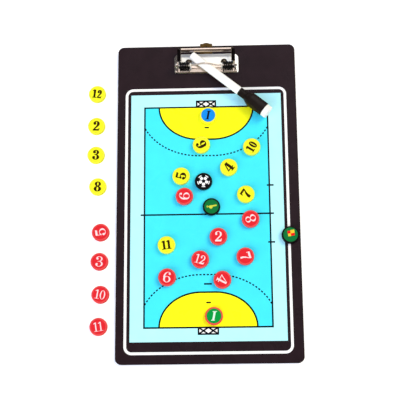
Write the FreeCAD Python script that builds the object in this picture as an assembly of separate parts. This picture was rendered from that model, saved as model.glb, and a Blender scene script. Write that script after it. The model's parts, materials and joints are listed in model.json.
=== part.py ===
"""Handball tactics board: a magnetic clipboard with a sprung clip, a marker pen and numbered counters."""
import FreeCAD, Part
import math
import os

V = FreeCAD.Vector
ORIGIN = V(0, 0, 0)
ALONG_X = V(1, 0, 0)
ALONG_Y = V(0, 1, 0)
ALONG_Z = V(0, 0, 1)

# Clearances, in mm
SLIDE_GAP = 0.1
RUNNING_GAP = 0.05
PRESS_GAP = 0.01
FREE_GAP = 0.3

# Board
BOARD_WIDTH = 210.0
BOARD_LENGTH = 375.0
BOARD_CORNER = 7.0
CORE_THICKNESS = 3.7
CORE_EDGE_ROUND = 0.8
FILM_THICKNESS = 0.3
STEEL_THICKNESS = 0.5
STEEL_INSET = 7.0
STEEL_CORNER = 4.0
FACE_Z = CORE_THICKNESS + FILM_THICKNESS
BOARD_TOP_Y = BOARD_LENGTH / 2

# Hinge
HINGE_SETBACK = 27.5
HINGE_LIFT = 8.3
HINGE_WIRE_RADIUS = 1.0
HINGE_HEAD_RADIUS = 1.7
HINGE_HEAD_LENGTH = 0.7
HINGE_Y = BOARD_TOP_Y - HINGE_SETBACK
HINGE_Z = FACE_Z + HINGE_LIFT

# Clip base plate and its ears
SHEET = 0.8
BASE_WIDTH = 76.0
BASE_AHEAD_OF_HINGE = 7.0
BASE_BEHIND_HINGE = 17.0
BASE_CORNER = 2.5
BASE_REAR_CORNER = 6.0
BASE_EDGE_ROUND = 0.35
BASE_SLOPE_WIDTH = 3.6
BASE_SLOPE_DROP = 0.55
EAR_RADIUS = 3.2
EAR_FOOT_HALF = 3.4
EAR_INNER_FACE = 18.2
EAR_MARGIN = 2.4
STEEL_BELOW_CLIP = 5.0
BASE_HALF = BASE_WIDTH / 2
BASE_TOP_Z = FACE_Z + SHEET
BASE_FRONT_Y = HINGE_Y - BASE_AHEAD_OF_HINGE
BASE_REAR_Y = HINGE_Y + BASE_BEHIND_HINGE
STEEL_TOP_Y = BASE_FRONT_Y - STEEL_BELOW_CLIP
EAR_INNER_OUT = EAR_INNER_FACE + SHEET
EAR_OUTER_OUT = BASE_HALF - EAR_MARGIN
EAR_OUTER_FACE = EAR_OUTER_OUT - SHEET

# Lever
LEVER_SIDE_GAP = 0.6
LEVER_HALF = EAR_OUTER_FACE - LEVER_SIDE_GAP
LEVER_SHOULDER_WIDTH = 4.4
LEVER_TOP_HALF = LEVER_HALF - LEVER_SHOULDER_WIDTH
LEVER_SHOULDER_LIFT = 7.4
LEVER_TOP_LIFT = 11.6
LEVER_BOSS_RADIUS = 3.6
JAW_SETBACK = 0.4
JAW_LENGTH = 4.8
JAW_FRONT_LIFT = 2.1
JAW_REAR_LIFT = 2.6
JAW_OVERHANG = 2.3
JAW_WIDE_HALF = LEVER_HALF + JAW_OVERHANG
JAW_WIDE_LENGTH = 2.8
JAW_ROUND = 0.7
TONGUE_REACH = 3.8
TONGUE_LIFT = 2.75
THUMB_RADIUS = 2.6
THUMB_BEHIND_HINGE = 19.1
THUMB_LIFT = 9.2
THUMB_CUT_FROM_DEG = 215.0
THUMB_CUT_TO_DEG = 340.0
SHOULDER_BEHIND_HINGE = 5.0
ARM_FOOT_LIFT = 4.2
ARM_REAR_FOOT_LIFT = 6.8

# Springs
SPRING_WIRE_RADIUS = 0.75
SPRING_RADIUS = 3.65
SPRING_PITCH = 2.05
SPRING_SIDE_GAP = 1.65
SPRING_REAR_REACH = 9.6
SPRING_FRONT_REACH = 5.6
ARM_INNER_FACE = LEVER_HALF - SHEET
SPRING_OUTER_X = ARM_INNER_FACE - SPRING_SIDE_GAP - SPRING_WIRE_RADIUS
SPRING_ROOM = SPRING_OUTER_X - SPRING_WIRE_RADIUS - FREE_GAP - EAR_INNER_OUT
SPRING_TURNS = int(SPRING_ROOM / SPRING_PITCH)

# Rivets
RIVET_X = 21.0
RIVET_BEHIND_HINGE = 7.0
RIVET_Y = HINGE_Y + RIVET_BEHIND_HINGE
RIVET_HEAD_RADIUS = 3.8
RIVET_HEAD_HEIGHT = 1.5
RIVET_RADIUS = 2.1
RIVET_TAIL_RADIUS = 4.0
RIVET_TAIL_HEIGHT = 0.9
RIVET_TAIL_RECESS = 0.2

# Hang tab
TAB_WIDTH = 14.4
TAB_THICKNESS = 0.8
TAB_GROOVE_DEPTH = 1.0
TAB_FOOT_WIDTH = 18.0
TAB_FOOT_LENGTH = 3.0
TAB_BEHIND_HINGE = 3.0
TAB_SHOWS = 3.0
TAB_DOME_HEIGHT = 1.2
TAB_DOME_HALF = 3.8
TAB_CORNER = 1.0
TAB_HOLE_RADIUS = 2.5
TAB_HOLE_SETBACK = 2.9
TAB_INNER_Y = HINGE_Y + TAB_BEHIND_HINGE
TAB_SHOULDER_Y = BOARD_TOP_Y + TAB_SHOWS
TAB_HOLE_Y = BOARD_TOP_Y - TAB_HOLE_SETBACK
TAB_TRAVEL = 12.0
TAB_STOP_MARGIN = 0.8

# Pen, in millimetres from its rear end along its own axis
PEN_ANGLE_DEG = -39.4
PEN_CROSS_X = -1.54
PEN_ROLL_GAP = 0.4
PEN_RADIUS = 4.9
PEN_WALL = 1.2
PEN_BARREL_ROUND = 0.3
PEN_PLUG_STEP = 0.15
PEN_PLUG_RADIUS = PEN_RADIUS - PEN_PLUG_STEP
PEN_PLUG_HEAD = 4.5
PEN_PLUG_ROUND = 0.6
PEN_PLUG_SPIGOT = 5.0
PEN_BARREL_END = 72.0
PEN_NECK_STEP = 0.9
PEN_NECK_RADIUS = PEN_RADIUS - PEN_NECK_STEP
PEN_NECK_LENGTH = 8.0
PEN_NOSE_RADIUS = 2.4
PEN_NOSE_LENGTH = 5.0
PEN_NIB_RADIUS = 1.6
PEN_NIB_SHOWS = 5.0
PEN_NIB_SUNK = 17.0
PEN_CORE_GAP = 0.4
CAP_RADIUS = 8.2
CAP_COLLAR_LENGTH = 9.0
CAP_FLARE_LENGTH = 7.5
CAP_BODY_LENGTH = 19.9
CAP_WALL = 1.5
CAP_ROUND = 0.6
CAP_MOUTH_GAP = 0.2
CAP_RIBS = 20
CAP_RIB_WIDTH = 0.7
CAP_RIB_DEPTH = 0.3
ERASER_STEP = 0.5
ERASER_SOCKET_WALL = 1.4
ERASER_RADIUS = CAP_RADIUS - ERASER_STEP
ERASER_STUB_RADIUS = CAP_RADIUS - ERASER_SOCKET_WALL
ERASER_STUB_LENGTH = 3.8
ERASER_SHOWS = 6.6
ERASER_ROUND = 1.0

# The pen lies on its cap's wide end, or on the lever's tongue where that is higher
PEN_LIFT = max(CAP_RADIUS + SLIDE_GAP, TONGUE_LIFT + FREE_GAP + PEN_RADIUS)

# Counters
COUNTER_RADIUS = 10.0
COUNTER_HEIGHT = 5.0
COUNTER_ROUND = 1.1
COUNTER_WALL = 1.6
COUNTER_ROOF = 1.5
LABEL_RIM = 1.7
LABEL_RADIUS = COUNTER_RADIUS - LABEL_RIM
LABEL_DEPTH = 0.3
MAGNET_RECESS = 0.3

# Where the counters stand on the board, as centres in x and y
BOARD_COUNTERS = {
    "yellow_keeper": (1.6, 99.3),
    "yellow_9": (-6.7, 63.6),
    "yellow_10": (51.6, 60.2),
    "yellow_4": (24.7, 36.1),
    "yellow_5": (-30.4, 26.6),
    "yellow_7": (43.7, 3.9),
    "yellow_11": (-47.3, -54.0),
    "ball": (-4.6, 19.8),
    "whistle": (4.2, -10.3),
    "cards": (93.3, -44.3),
    "red_9": (-26.7, 2.5),
    "red_8": (48.6, -25.2),
    "red_2": (11.7, -45.0),
    "red_12": (-9.2, -71.0),
    "red_7": (41.8, -68.2),
    "red_6": (-46.7, -90.9),
    "red_4": (15.5, -94.4),
    "red_keeper": (5.6, -135.1),
}

# Where the spare counters lie on the table: distance out from the board's left edge, and y
SPARE_COUNTERS = {
    "yellow_12": (24.5, 129.6),
    "yellow_2": (24.8, 90.0),
    "yellow_3": (24.9, 54.6),
    "yellow_8": (22.2, 16.5),
    "red_5": (18.1, -37.5),
    "red_3": (19.0, -71.3),
    "red_10": (17.4, -109.0),
    "red_11": (19.0, -145.1),
}

# Derived places
WINDOW_OUT = ARM_INNER_FACE - FREE_GAP
WINDOW_FRONT_Y = HINGE_Y - EAR_RADIUS - SHEET
WINDOW_REAR_Y = HINGE_Y + EAR_RADIUS - FREE_GAP
HINGE_WIRE_END = EAR_OUTER_OUT + SLIDE_GAP + HINGE_HEAD_LENGTH
HINGE_HOLE_RADIUS = HINGE_WIRE_RADIUS + RUNNING_GAP
JAW_FRONT_Y = BASE_FRONT_Y + JAW_SETBACK
JAW_REAR_Y = JAW_FRONT_Y + JAW_LENGTH
JAW_FOOT_LIFT = SHEET + SLIDE_GAP
TONGUE_HALF = EAR_INNER_FACE - FREE_GAP - FREE_GAP
THUMB_Y = HINGE_Y + THUMB_BEHIND_HINGE
PEN_TURN = math.radians(PEN_ANGLE_DEG)
PEN_RIM_FLAT = PEN_PLUG_RADIUS - PEN_PLUG_ROUND
PEN_RIM_REACH = PEN_RIM_FLAT * math.cos(PEN_TURN) + PEN_PLUG_ROUND * (1 + math.sin(PEN_TURN))
PEN_REAR_Y = THUMB_Y - THUMB_RADIUS - PEN_ROLL_GAP - PEN_RIM_REACH
PEN_REAR_X = PEN_CROSS_X - (PEN_REAR_Y - HINGE_Y) / math.tan(-PEN_TURN)
ARCH_RISE = PEN_LIFT - HINGE_LIFT + PEN_RADIUS + HINGE_WIRE_RADIUS + FREE_GAP
ARCH_HALF = EAR_INNER_FACE - SHEET + PEN_CROSS_X / 2
ARCH_RADIUS = (ARCH_HALF**2 + ARCH_RISE**2) / (4 * ARCH_RISE)
PEN_BORE = PEN_RADIUS - PEN_WALL
PEN_NECK_END = PEN_BARREL_END + PEN_NECK_LENGTH
PEN_NOSE_END = PEN_NECK_END + PEN_NOSE_LENGTH
PEN_NIB_END = PEN_NOSE_END + PEN_NIB_SHOWS
PEN_NIB_START = PEN_NIB_END - PEN_NIB_SUNK - PEN_NIB_SHOWS
CAP_START = PEN_BARREL_END + CAP_MOUTH_GAP
CAP_SHOULDER = CAP_START + CAP_COLLAR_LENGTH + CAP_FLARE_LENGTH
CAP_END = CAP_SHOULDER + CAP_BODY_LENGTH
CAP_SOCKET = CAP_END - ERASER_STUB_LENGTH
MAGNET_RADIUS = COUNTER_RADIUS - COUNTER_WALL
MAGNET_TOP = COUNTER_HEIGHT - LABEL_DEPTH - COUNTER_ROOF


# Shape helpers
def block(x0, x1, y0, y1, z0, z1):
    return Part.makeBox(x1 - x0, y1 - y0, z1 - z0, V(x0, y0, z0))


def post(x, y, radius, z0, z1):
    return Part.makeCylinder(radius, z1 - z0, V(x, y, z0), ALONG_Z)


def rod(y, z, radius, x0, x1):
    return Part.makeCylinder(radius, x1 - x0, V(x0, y, z), ALONG_X)


def polygon_face(points):
    return Part.Face(Part.makePolygon(points + points[:1]))


def side_plate(profile, x0, x1):
    """A plate standing across x, from its outline as distances along y and lifts above the board's face."""
    face = polygon_face([V(x0, y, FACE_Z + lift) for y, lift in profile])
    return face.extrude(V(x1 - x0, 0, 0))


def end_prism(section, y0, y1):
    """A bar running along y, from its section as x and lift above the board's face."""
    face = polygon_face([V(x, y0, FACE_Z + lift) for x, lift in section])
    return face.extrude(V(0, y1 - y0, 0))


def turned(profile):
    """A turned piece about the x axis, from its half section as length and radius."""
    return polygon_face([V(u, r, 0) for u, r in profile]).revolve(ORIGIN, ALONG_X, 360)


def joined(shapes):
    return shapes[0].fuse(shapes[1:]).removeSplitter()


def rounded_plate(x0, x1, y0, y1, z0, z1, radius):
    plate = block(x0, x1, y0, y1, z0, z1)
    uprights = [e for e in plate.Edges if abs(e.BoundBox.ZLength - (z1 - z0)) < PRESS_GAP]
    return plate.makeFillet(radius, uprights)


def edges_at(shape, z):
    return [e for e in shape.Edges if abs(e.BoundBox.ZMin - z) < PRESS_GAP and e.BoundBox.ZLength < PRESS_GAP]


def both_sides(shape):
    return [shape, shape.mirror(ORIGIN, ALONG_X)]


def rivet_places():
    return [(-RIVET_X, RIVET_Y), (RIVET_X, RIVET_Y)]


# Board layers
def tab_groove():
    """The groove the hang tab slides in, with its wide part for the tab's foot."""
    floor = FACE_Z - TAB_GROOVE_DEPTH
    half = TAB_WIDTH / 2 + SLIDE_GAP
    foot_half = TAB_FOOT_WIDTH / 2 + SLIDE_GAP
    inner = TAB_INNER_Y - SLIDE_GAP
    stop = TAB_INNER_Y + TAB_FOOT_LENGTH + TAB_TRAVEL + TAB_STOP_MARGIN
    wide = block(-foot_half, foot_half, inner, stop, floor, FACE_Z + SHEET)
    narrow = block(-half, half, inner, BOARD_TOP_Y + SHEET, floor, FACE_Z + SHEET)
    return wide.fuse(narrow)


def steel_outline(z0, z1, gap):
    half = BOARD_WIDTH / 2 - STEEL_INSET + gap
    bottom = -BOARD_TOP_Y + STEEL_INSET - gap
    return rounded_plate(-half, half, bottom, STEEL_TOP_Y + gap, z0, z1, STEEL_CORNER + gap)


def core_panel():
    half = BOARD_WIDTH / 2
    core = rounded_plate(-half, half, -BOARD_TOP_Y, BOARD_TOP_Y, 0, CORE_THICKNESS, BOARD_CORNER)
    core = core.makeFillet(CORE_EDGE_ROUND, edges_at(core, 0))
    core = core.cut(steel_outline(CORE_THICKNESS - STEEL_THICKNESS, FACE_Z, RUNNING_GAP))
    for x, y in rivet_places():
        core = core.cut(post(x, y, RIVET_RADIUS + RUNNING_GAP, -SHEET, FACE_Z))
        well = RIVET_TAIL_HEIGHT + RIVET_TAIL_RECESS
        core = core.cut(post(x, y, RIVET_TAIL_RADIUS + RUNNING_GAP, -SHEET, well))
    return core.cut(tab_groove())


def steel_sheet():
    return steel_outline(CORE_THICKNESS - STEEL_THICKNESS, CORE_THICKNESS, 0)


def court_film():
    half = BOARD_WIDTH / 2
    film = rounded_plate(-half, half, -BOARD_TOP_Y, BOARD_TOP_Y, CORE_THICKNESS, FACE_Z, BOARD_CORNER)
    for x, y in rivet_places():
        film = film.cut(post(x, y, RIVET_RADIUS + RUNNING_GAP, 0, FACE_Z + SHEET))
    return film.cut(tab_groove())


# Clip
def ear(face_x):
    """One upright ear of the base plate, with the hole the hinge wire turns in."""
    out_x = face_x + SHEET
    y0 = HINGE_Y - EAR_FOOT_HALF
    y1 = HINGE_Y + EAR_FOOT_HALF
    outline = [(y0, 0), (y1, 0), (HINGE_Y + EAR_RADIUS, HINGE_LIFT), (HINGE_Y - EAR_RADIUS, HINGE_LIFT)]
    foot = side_plate(outline, face_x, out_x)
    top = rod(HINGE_Y, HINGE_Z, EAR_RADIUS, face_x, out_x)
    hole = rod(HINGE_Y, HINGE_Z, HINGE_HOLE_RADIUS, face_x - SHEET, out_x + SHEET)
    return foot.fuse(top).removeSplitter().cut(hole)


def base_plate():
    """The plate with wide rear corners, and sides that slope down to thin edges."""
    plate = block(-BASE_HALF, BASE_HALF, BASE_FRONT_Y, BASE_REAR_Y, FACE_Z, BASE_TOP_Z)
    for y, radius in ((BASE_FRONT_Y, BASE_CORNER), (BASE_REAR_Y, BASE_REAR_CORNER)):
        uprights = [e for e in plate.Edges if e.BoundBox.ZLength > PRESS_GAP]
        uprights = [e for e in uprights if abs(e.BoundBox.YMin - y) < PRESS_GAP]
        plate = plate.makeFillet(radius, uprights)
    plate = plate.makeFillet(BASE_EDGE_ROUND, edges_at(plate, BASE_TOP_Z))
    start_x = BASE_HALF - BASE_SLOPE_WIDTH
    reach = BASE_SLOPE_WIDTH * 2
    low = SHEET - 2 * BASE_SLOPE_DROP
    section = [(start_x, SHEET), (start_x + reach, low), (start_x + reach, SHEET * 2), (start_x, SHEET * 2)]
    return plate.cut(both_sides(end_prism(section, BASE_FRONT_Y - SHEET, BASE_REAR_Y + SHEET)))


def clip_base():
    plate = base_plate()
    window = block(EAR_INNER_OUT, WINDOW_OUT, WINDOW_FRONT_Y, WINDOW_REAR_Y, 0, BASE_TOP_Z + SHEET)
    plate = plate.cut(both_sides(window))
    for x, y in rivet_places():
        plate = plate.cut(post(x, y, RIVET_RADIUS + RUNNING_GAP, 0, BASE_TOP_Z + SHEET))
    ears = both_sides(ear(EAR_INNER_FACE)) + both_sides(ear(EAR_OUTER_FACE))
    return joined([plate] + ears)


def jaw():
    """The lever's front lip, notched round the inner ears, and the tongue that reaches back under the pen."""
    foot = JAW_FOOT_LIFT
    inner_y = JAW_FRONT_Y + SHEET
    split_y = JAW_FRONT_Y + JAW_WIDE_LENGTH
    rise = (JAW_REAR_LIFT - JAW_FRONT_LIFT) / JAW_LENGTH
    split_lift = JAW_FRONT_LIFT + rise * JAW_WIDE_LENGTH
    under = JAW_FRONT_LIFT + rise * SHEET - SHEET
    front = [(JAW_FRONT_Y, foot), (JAW_FRONT_Y, JAW_FRONT_LIFT), (split_y, split_lift)]
    front = front + [(split_y, split_lift - SHEET), (inner_y, under), (inner_y, foot)]
    wide = side_plate(front, -JAW_WIDE_HALF, JAW_WIDE_HALF)
    nose = [e for e in edges_at(wide, FACE_Z + JAW_FRONT_LIFT) if e.BoundBox.XLength > LEVER_HALF]
    wide = wide.makeFillet(JAW_ROUND, nose)
    rear = [(inner_y, under), (inner_y, under + SHEET)]
    rear = rear + [(JAW_REAR_Y, JAW_REAR_LIFT), (JAW_REAR_Y, JAW_REAR_LIFT - SHEET)]
    narrow = side_plate(rear, -LEVER_HALF, LEVER_HALF)
    notch_y = HINGE_Y - EAR_FOOT_HALF - FREE_GAP
    notch = block(TONGUE_HALF, EAR_INNER_OUT + FREE_GAP, notch_y, HINGE_Y, FACE_Z, HINGE_Z)
    narrow = narrow.cut(both_sides(notch))
    end_y = JAW_REAR_Y + TONGUE_REACH
    reach = [(JAW_REAR_Y, JAW_REAR_LIFT - SHEET), (JAW_REAR_Y, JAW_REAR_LIFT)]
    reach = reach + [(end_y, TONGUE_LIFT), (end_y, TONGUE_LIFT - SHEET)]
    return [wide, narrow, side_plate(reach, -TONGUE_HALF, TONGUE_HALF)]


def front_arm():
    """The part of the lever's side that carries the pivot and comes down to the jaw."""
    radius = LEVER_BOSS_RADIUS
    boss = rod(HINGE_Y, HINGE_Z, radius, ARM_INNER_FACE, LEVER_HALF)
    low_y = JAW_FRONT_Y + SHEET
    leg = [(low_y, JAW_FRONT_LIFT - SHEET), (JAW_REAR_Y, JAW_REAR_LIFT - SHEET)]
    leg = leg + [(HINGE_Y + radius, HINGE_LIFT), (HINGE_Y - radius, HINGE_LIFT), (low_y, JAW_FRONT_LIFT)]
    return [boss, side_plate(leg, ARM_INNER_FACE, LEVER_HALF)]


def lever_section(inset):
    """The lever's section across the clip: upright sides and sloping shoulders, drawn in by the inset."""
    slope = (LEVER_HALF - LEVER_TOP_HALF) / (LEVER_TOP_LIFT - LEVER_SHOULDER_LIFT)
    half = LEVER_HALF - inset
    top_lift = LEVER_TOP_LIFT + SHEET
    drop = inset * (math.sqrt(1 + slope**2) - 1) / slope
    shoulder = LEVER_SHOULDER_LIFT - drop
    top_half = half - slope * (top_lift - shoulder)
    right = [(half, 0), (half, shoulder), (top_half, top_lift)]
    left = [(-x, lift) for x, lift in reversed(right)]
    return right + left


def shoulders():
    """The lever's rear sides: strips with sloping shoulders, from behind the pivot to the thumb roll."""
    y0 = HINGE_Y + LEVER_BOSS_RADIUS / 2
    y1 = THUMB_Y + THUMB_RADIUS / 2
    inside = end_prism(lever_section(SHEET), y0 - SHEET, y1 + SHEET)
    shell = end_prism(lever_section(0), y0, y1).cut(inside)
    step_y = HINGE_Y + SHOULDER_BEHIND_HINGE
    outline = [(y0, ARM_FOOT_LIFT), (y1, ARM_REAR_FOOT_LIFT), (y1, LEVER_TOP_LIFT), (step_y, LEVER_TOP_LIFT)]
    outline = outline + [(step_y, LEVER_SHOULDER_LIFT), (y0, LEVER_SHOULDER_LIFT)]
    keep = side_plate(outline, LEVER_TOP_HALF, LEVER_HALF + SHEET)
    return [shell.common(side) for side in both_sides(keep)]


def thumb_roll():
    """The rolled bar that the thumb presses, open underneath, with its ends sloped to the shoulders."""
    z = FACE_Z + THUMB_LIFT
    roll = rod(THUMB_Y, z, THUMB_RADIUS, -LEVER_HALF, LEVER_HALF)
    roll = roll.cut(rod(THUMB_Y, z, THUMB_RADIUS - SHEET, -LEVER_HALF - SHEET, LEVER_HALF + SHEET))
    reach = THUMB_RADIUS * 2
    wedge = [(THUMB_Y, THUMB_LIFT)]
    for degrees in (THUMB_CUT_FROM_DEG, (THUMB_CUT_FROM_DEG + THUMB_CUT_TO_DEG) / 2, THUMB_CUT_TO_DEG):
        ray = math.radians(degrees)
        wedge.append((THUMB_Y + reach * math.cos(ray), THUMB_LIFT + reach * math.sin(ray)))
    roll = roll.cut(side_plate(wedge, -LEVER_HALF - SHEET, LEVER_HALF + SHEET))
    return roll.common(end_prism(lever_section(0), THUMB_Y - reach, THUMB_Y + reach))


def clip_lever():
    arms = []
    for piece in front_arm():
        arms = arms + both_sides(piece)
    lever = joined(jaw() + arms + shoulders() + [thumb_roll()])
    hole = rod(HINGE_Y, HINGE_Z, HINGE_WIRE_RADIUS + PRESS_GAP, -LEVER_HALF - SHEET, LEVER_HALF + SHEET)
    return lever.cut(hole)


def arc(start, middle, end):
    return Part.Arc(start, middle, end).toShape()


def swept_wire(edges, radius, start, direction):
    path = Part.Wire(edges)
    ring = Part.Wire(Part.makeCircle(radius, start, direction))
    return path.makePipeShell([ring], True, False)


def hinge_wire():
    """The hinge wire: straight in the ears and bowed up between them, over the pen."""
    def at(x, rise):
        return V(x, HINGE_Y, HINGE_Z + rise)
    half_turn = math.atan2(ARCH_RISE, ARCH_HALF)
    bend_x = ARCH_RADIUS * math.sin(half_turn)
    bend_rise = ARCH_RADIUS * (1 - math.cos(half_turn))
    left = PEN_CROSS_X - ARCH_HALF
    right = PEN_CROSS_X + ARCH_HALF
    left_half = at(PEN_CROSS_X - ARCH_HALF / 2, ARCH_RISE / 2)
    right_half = at(PEN_CROSS_X + ARCH_HALF / 2, ARCH_RISE / 2)
    top = at(PEN_CROSS_X, ARCH_RISE)
    edges = [Part.makeLine(at(-HINGE_WIRE_END, 0), at(left, 0))]
    edges.append(arc(at(left, 0), at(left + bend_x, bend_rise), left_half))
    edges.append(arc(left_half, at(PEN_CROSS_X - bend_x, ARCH_RISE - bend_rise), top))
    edges.append(arc(top, at(PEN_CROSS_X + bend_x, ARCH_RISE - bend_rise), right_half))
    edges.append(arc(right_half, at(right - bend_x, bend_rise), at(right, 0)))
    edges.append(Part.makeLine(at(right, 0), at(HINGE_WIRE_END, 0)))
    wire = swept_wire(edges, HINGE_WIRE_RADIUS, at(-HINGE_WIRE_END, 0), ALONG_X)
    head = rod(HINGE_Y, HINGE_Z, HINGE_HEAD_RADIUS, HINGE_WIRE_END - HINGE_HEAD_LENGTH, HINGE_WIRE_END)
    return joined([wire] + both_sides(head))


def tangent_angle(reach, drop, side):
    """The angle round the coil, from straight back, where a leg to this reach and drop leaves it."""
    away = math.atan2(-drop, reach)
    return away + side * math.acos(SPRING_RADIUS / math.hypot(reach, drop))


def coil_point(angle, x):
    return V(x, HINGE_Y + SPRING_RADIUS * math.cos(angle), HINGE_Z + SPRING_RADIUS * math.sin(angle))


def biarc(p0, t0, p1, t1):
    """Two arcs that leave one point and reach another along the given directions."""
    chord = p1 - p0
    both = t0 + t1
    a = both.dot(both) - 4
    b = -2 * chord.dot(both)
    root = math.sqrt(b * b - 4 * a * chord.dot(chord))
    reach = (-b - root) / (2 * a)
    corners = [p0 + t0 * reach, p1 - t1 * reach]
    joint = (corners[0] + corners[1]) * 0.5
    arcs = []
    for start, corner, end in ((p0, corners[0], joint), (joint, corners[1], p1)):
        base = (start + end) * 0.5
        half = (end - start).Length / 2
        lift = corner - base
        sag = half * math.tan(math.atan2(lift.Length, half) / 2)
        arcs.append(arc(start, base + lift * (sag / lift.Length), end))
    return arcs


def spring():
    """One torsion spring: a rear leg on the plate, the coil round the hinge wire, a front leg on the jaw."""
    rear_drop = HINGE_LIFT - SHEET - SPRING_WIRE_RADIUS - SLIDE_GAP
    foot_y = HINGE_Y - SPRING_FRONT_REACH
    jaw_lift = JAW_FRONT_LIFT + (JAW_REAR_LIFT - JAW_FRONT_LIFT) * (foot_y - JAW_FRONT_Y) / JAW_LENGTH
    front_drop = HINGE_LIFT - jaw_lift - SPRING_WIRE_RADIUS - SLIDE_GAP
    start = tangent_angle(SPRING_REAR_REACH, rear_drop, -1)
    end = tangent_angle(-SPRING_FRONT_REACH, front_drop, 1) - 2 * math.pi * (SPRING_TURNS + 1)
    turn = start - end
    turn = turn - 2 * math.pi * math.floor((turn - 2 * math.pi * (SPRING_TURNS - 1)) / (2 * math.pi))
    steps = 2 * SPRING_TURNS
    slope = SPRING_PITCH / (2 * math.pi)

    def place(k):
        angle = turn * k / steps
        return coil_point(start - angle, SPRING_OUTER_X - slope * angle)

    def heading(k):
        angle = start - turn * k / steps
        return V(-slope, SPRING_RADIUS * math.sin(angle), -SPRING_RADIUS * math.cos(angle)).normalize()

    rear_leg = math.sqrt(SPRING_REAR_REACH**2 + rear_drop**2 - SPRING_RADIUS**2)
    front_leg = math.sqrt(SPRING_FRONT_REACH**2 + front_drop**2 - SPRING_RADIUS**2)
    tail = place(0) - heading(0) * rear_leg
    nose = place(steps) + heading(steps) * front_leg
    edges = [Part.makeLine(tail, place(0))]
    for k in range(steps):
        edges = edges + biarc(place(k), heading(k), place(k + 1), heading(k + 1))
    edges.append(Part.makeLine(place(steps), nose))
    report_spring_gap(edges)
    return swept_wire(edges, SPRING_WIRE_RADIUS, tail, heading(0))


def report_spring_gap(edges):
    """Prints the least clear gap between one turn of the spring's wire and any other."""
    points = []
    length = 0.0
    spacing = SPRING_WIRE_RADIUS / 2
    for edge in edges:
        count = int(edge.Length / spacing) + 2
        for point in edge.discretize(Number=count):
            points.append((length + edge.Length * 0.5, point))
        length = length + edge.Length
    apart = math.pi * SPRING_RADIUS
    gaps = [(p - q).Length for i, (a, p) in enumerate(points) for b, q in points[i:] if abs(a - b) > apart]
    print("spring: least gap to itself", round(min(gaps) - 2 * SPRING_WIRE_RADIUS, 3), "mm")


def clip_rivets():
    rivets = []
    for x, y in rivet_places():
        head = Part.makeSphere((RIVET_HEAD_RADIUS**2 + RIVET_HEAD_HEIGHT**2) / (2 * RIVET_HEAD_HEIGHT))
        radius = head.BoundBox.XLength / 2
        head.translate(V(x, y, BASE_TOP_Z + RIVET_HEAD_HEIGHT - radius))
        head = head.common(post(x, y, RIVET_HEAD_RADIUS, BASE_TOP_Z, BASE_TOP_Z + RIVET_HEAD_HEIGHT))
        shank = post(x, y, RIVET_RADIUS, RIVET_TAIL_RECESS, BASE_TOP_Z + SHEET / 2)
        tail = post(x, y, RIVET_TAIL_RADIUS, RIVET_TAIL_RECESS, RIVET_TAIL_RECESS + RIVET_TAIL_HEIGHT)
        rivets.append(joined([head, shank, tail]))
    return Part.makeCompound(rivets)


def hang_tab():
    z0 = FACE_Z - TAB_GROOVE_DEPTH + RUNNING_GAP
    z1 = z0 + TAB_THICKNESS
    half = TAB_WIDTH / 2
    foot_half = TAB_FOOT_WIDTH / 2
    strip = rounded_plate(-half, half, TAB_INNER_Y, TAB_SHOULDER_Y, z0, z1, TAB_CORNER)
    foot = block(-foot_half, foot_half, TAB_INNER_Y, TAB_INNER_Y + TAB_FOOT_LENGTH, z0, z1)
    dome_radius = (TAB_DOME_HALF**2 + TAB_DOME_HEIGHT**2) / (2 * TAB_DOME_HEIGHT)
    dome = post(0, TAB_SHOULDER_Y + TAB_DOME_HEIGHT - dome_radius, dome_radius, z0, z1)
    dome = dome.common(block(-half, half, TAB_SHOULDER_Y - TAB_DOME_HEIGHT, BOARD_TOP_Y + TAB_WIDTH, z0, z1))
    dome = dome.common(block(-TAB_DOME_HALF, TAB_DOME_HALF, 0, BOARD_TOP_Y + TAB_WIDTH, z0, z1))
    tab = joined([strip, foot, dome])
    return tab.cut(post(0, TAB_HOLE_Y, TAB_HOLE_RADIUS, 0, FACE_Z + SHEET))


# Pen
def on_pen(shape):
    shape.rotate(ORIGIN, ALONG_Z, PEN_ANGLE_DEG)
    shape.translate(V(PEN_REAR_X, PEN_REAR_Y, FACE_Z + PEN_LIFT))
    return shape


def rounded_rims(shape, u, radius):
    rims = [e for e in shape.Edges if abs(e.BoundBox.XMin - u) < PRESS_GAP and e.BoundBox.XLength < PRESS_GAP]
    outer = max(e.BoundBox.YLength for e in rims)
    return shape.makeFillet(radius, [e for e in rims if e.BoundBox.YLength > outer - PRESS_GAP])


def pen_barrel():
    nib_hole = PEN_NIB_RADIUS + PRESS_GAP
    seat = PEN_NIB_START
    outer = [(PEN_PLUG_HEAD, PEN_RADIUS), (PEN_BARREL_END, PEN_RADIUS), (PEN_BARREL_END, PEN_NECK_RADIUS)]
    nose = [(PEN_NECK_END, PEN_NECK_RADIUS), (PEN_NOSE_END, PEN_NOSE_RADIUS), (PEN_NOSE_END, nib_hole)]
    inner = [(seat, nib_hole), (seat, PEN_BORE), (PEN_PLUG_HEAD, PEN_BORE)]
    return rounded_rims(turned(outer + nose + inner), PEN_PLUG_HEAD, PEN_BARREL_ROUND)


def pen_end_plug():
    spigot = PEN_BORE - PRESS_GAP
    end = PEN_PLUG_HEAD + PEN_PLUG_SPIGOT
    head = [(0, 0), (0, PEN_PLUG_RADIUS), (PEN_PLUG_HEAD, PEN_PLUG_RADIUS)]
    plug = turned(head + [(PEN_PLUG_HEAD, spigot), (end, spigot), (end, 0)])
    return rounded_rims(plug, 0, PEN_PLUG_ROUND)


def round_bar(start, end, radius):
    """A plain round bar on the pen's axis."""
    return turned([(start, 0), (start, radius), (end, radius), (end, 0)])


def pen_ink_core():
    return round_bar(PEN_PLUG_HEAD + PEN_PLUG_SPIGOT, PEN_NIB_START, PEN_BORE - PEN_CORE_GAP)


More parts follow.
